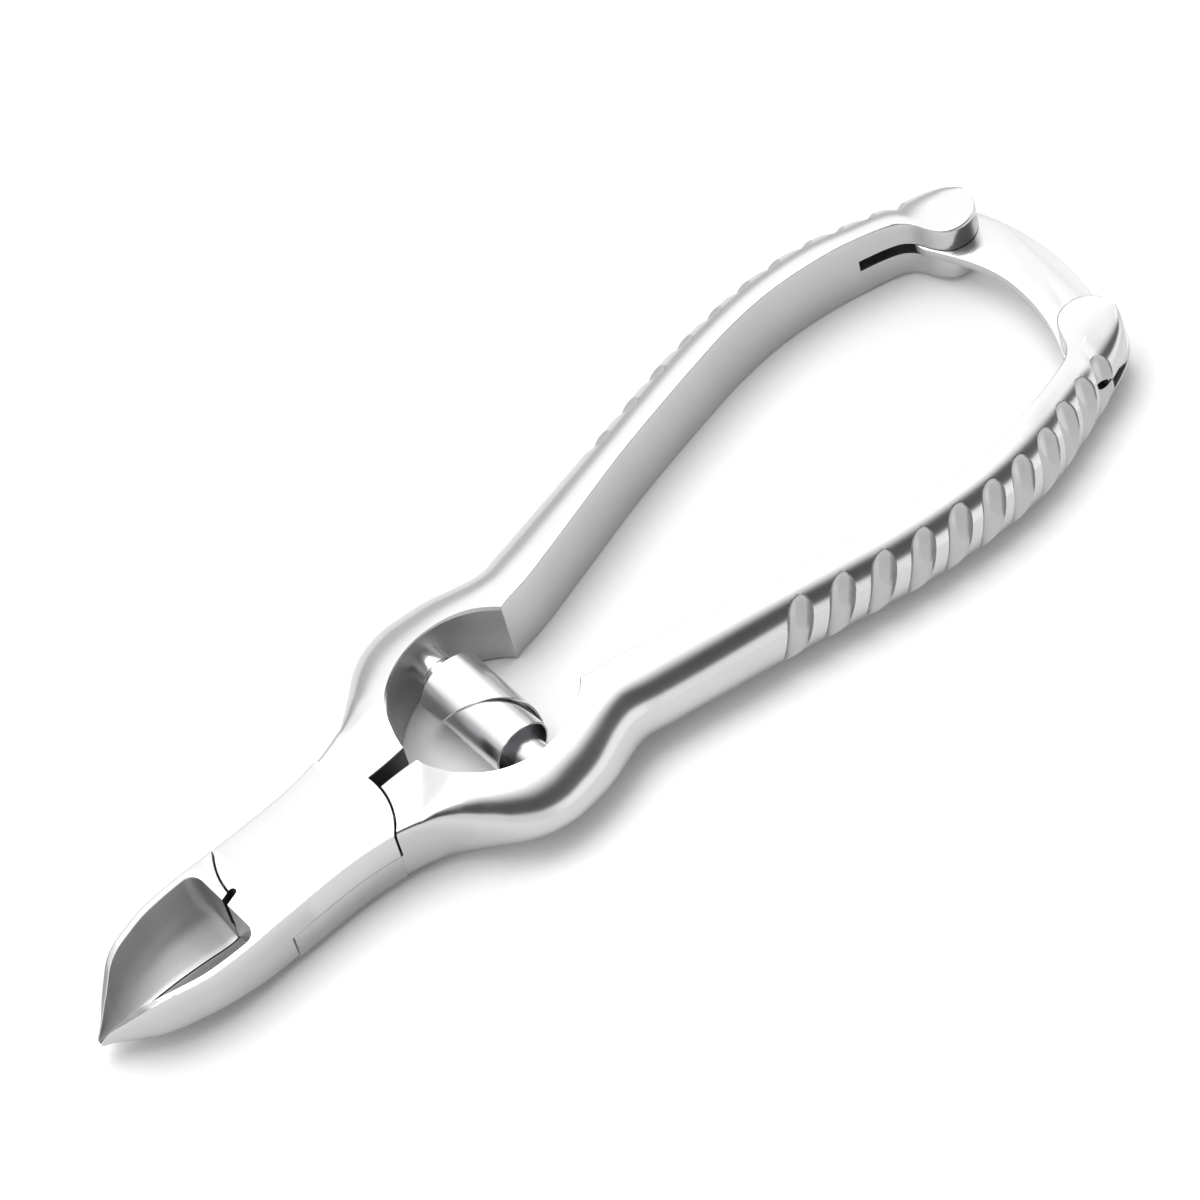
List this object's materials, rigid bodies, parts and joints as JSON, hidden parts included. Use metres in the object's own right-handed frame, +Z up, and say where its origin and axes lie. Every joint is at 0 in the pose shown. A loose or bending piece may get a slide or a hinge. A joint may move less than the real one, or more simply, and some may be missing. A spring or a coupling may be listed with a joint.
{
  "type": "toenail nipper",
  "caption": "Steel toenail nipper with concave jaws on a lap joint, a barrel spring between the shanks and a swinging strap that locks the bowed, fluted handles.",
  "frame": {"origin": "centre of the footprint, on the surface the nipper lies on", "axes": "+X from the jaws to the handle ends, +Z up out of the flat face that carries the jaw hollow, +Y to the handle that holds the strap's pivot"},
  "size_m": [0.1419, 0.046, 0.01],
  "materials": {
    "lever_steel": "satin ground stainless steel",
    "strap_steel": "satin stainless steel sheet",
    "spring_steel": "bright polished spring strip",
    "polished_steel": "polished turned steel",
    "pin_steel": "ground flush"
  },
  "bodies": {
    "lever_a": {"upper_lever": "lever_steel", "pivot_screw": "pin_steel", "spring_stud_upper": "polished_steel", "barrel_spring": "spring_steel", "strap_pin": "pin_steel"},
    "lever_b": {"lower_lever": "lever_steel", "spring_stud_lower": "polished_steel", "catch_pin": "pin_steel"},
    "strap": {"lock_strap": "strap_steel"}
  },
  "joints": [
    {"name": "lever_hinge", "type": "hinge", "parent": "lever_a", "child": "lever_b", "pos_m": [-0.04045, 0, 0.005], "axis": [0, 0, -1], "range_deg": [0, 14], "stiffness_Nm_per_rad": 0.7, "springref_deg": 17.19, "deforming": ["barrel_spring"]},
    {"name": "strap_swing", "type": "hinge", "parent": "lever_a", "child": "strap", "pos_m": [0.06485, 0.013, 0.005], "axis": [0, 0, 1], "range_deg": [-4, 110]}
  ]
}
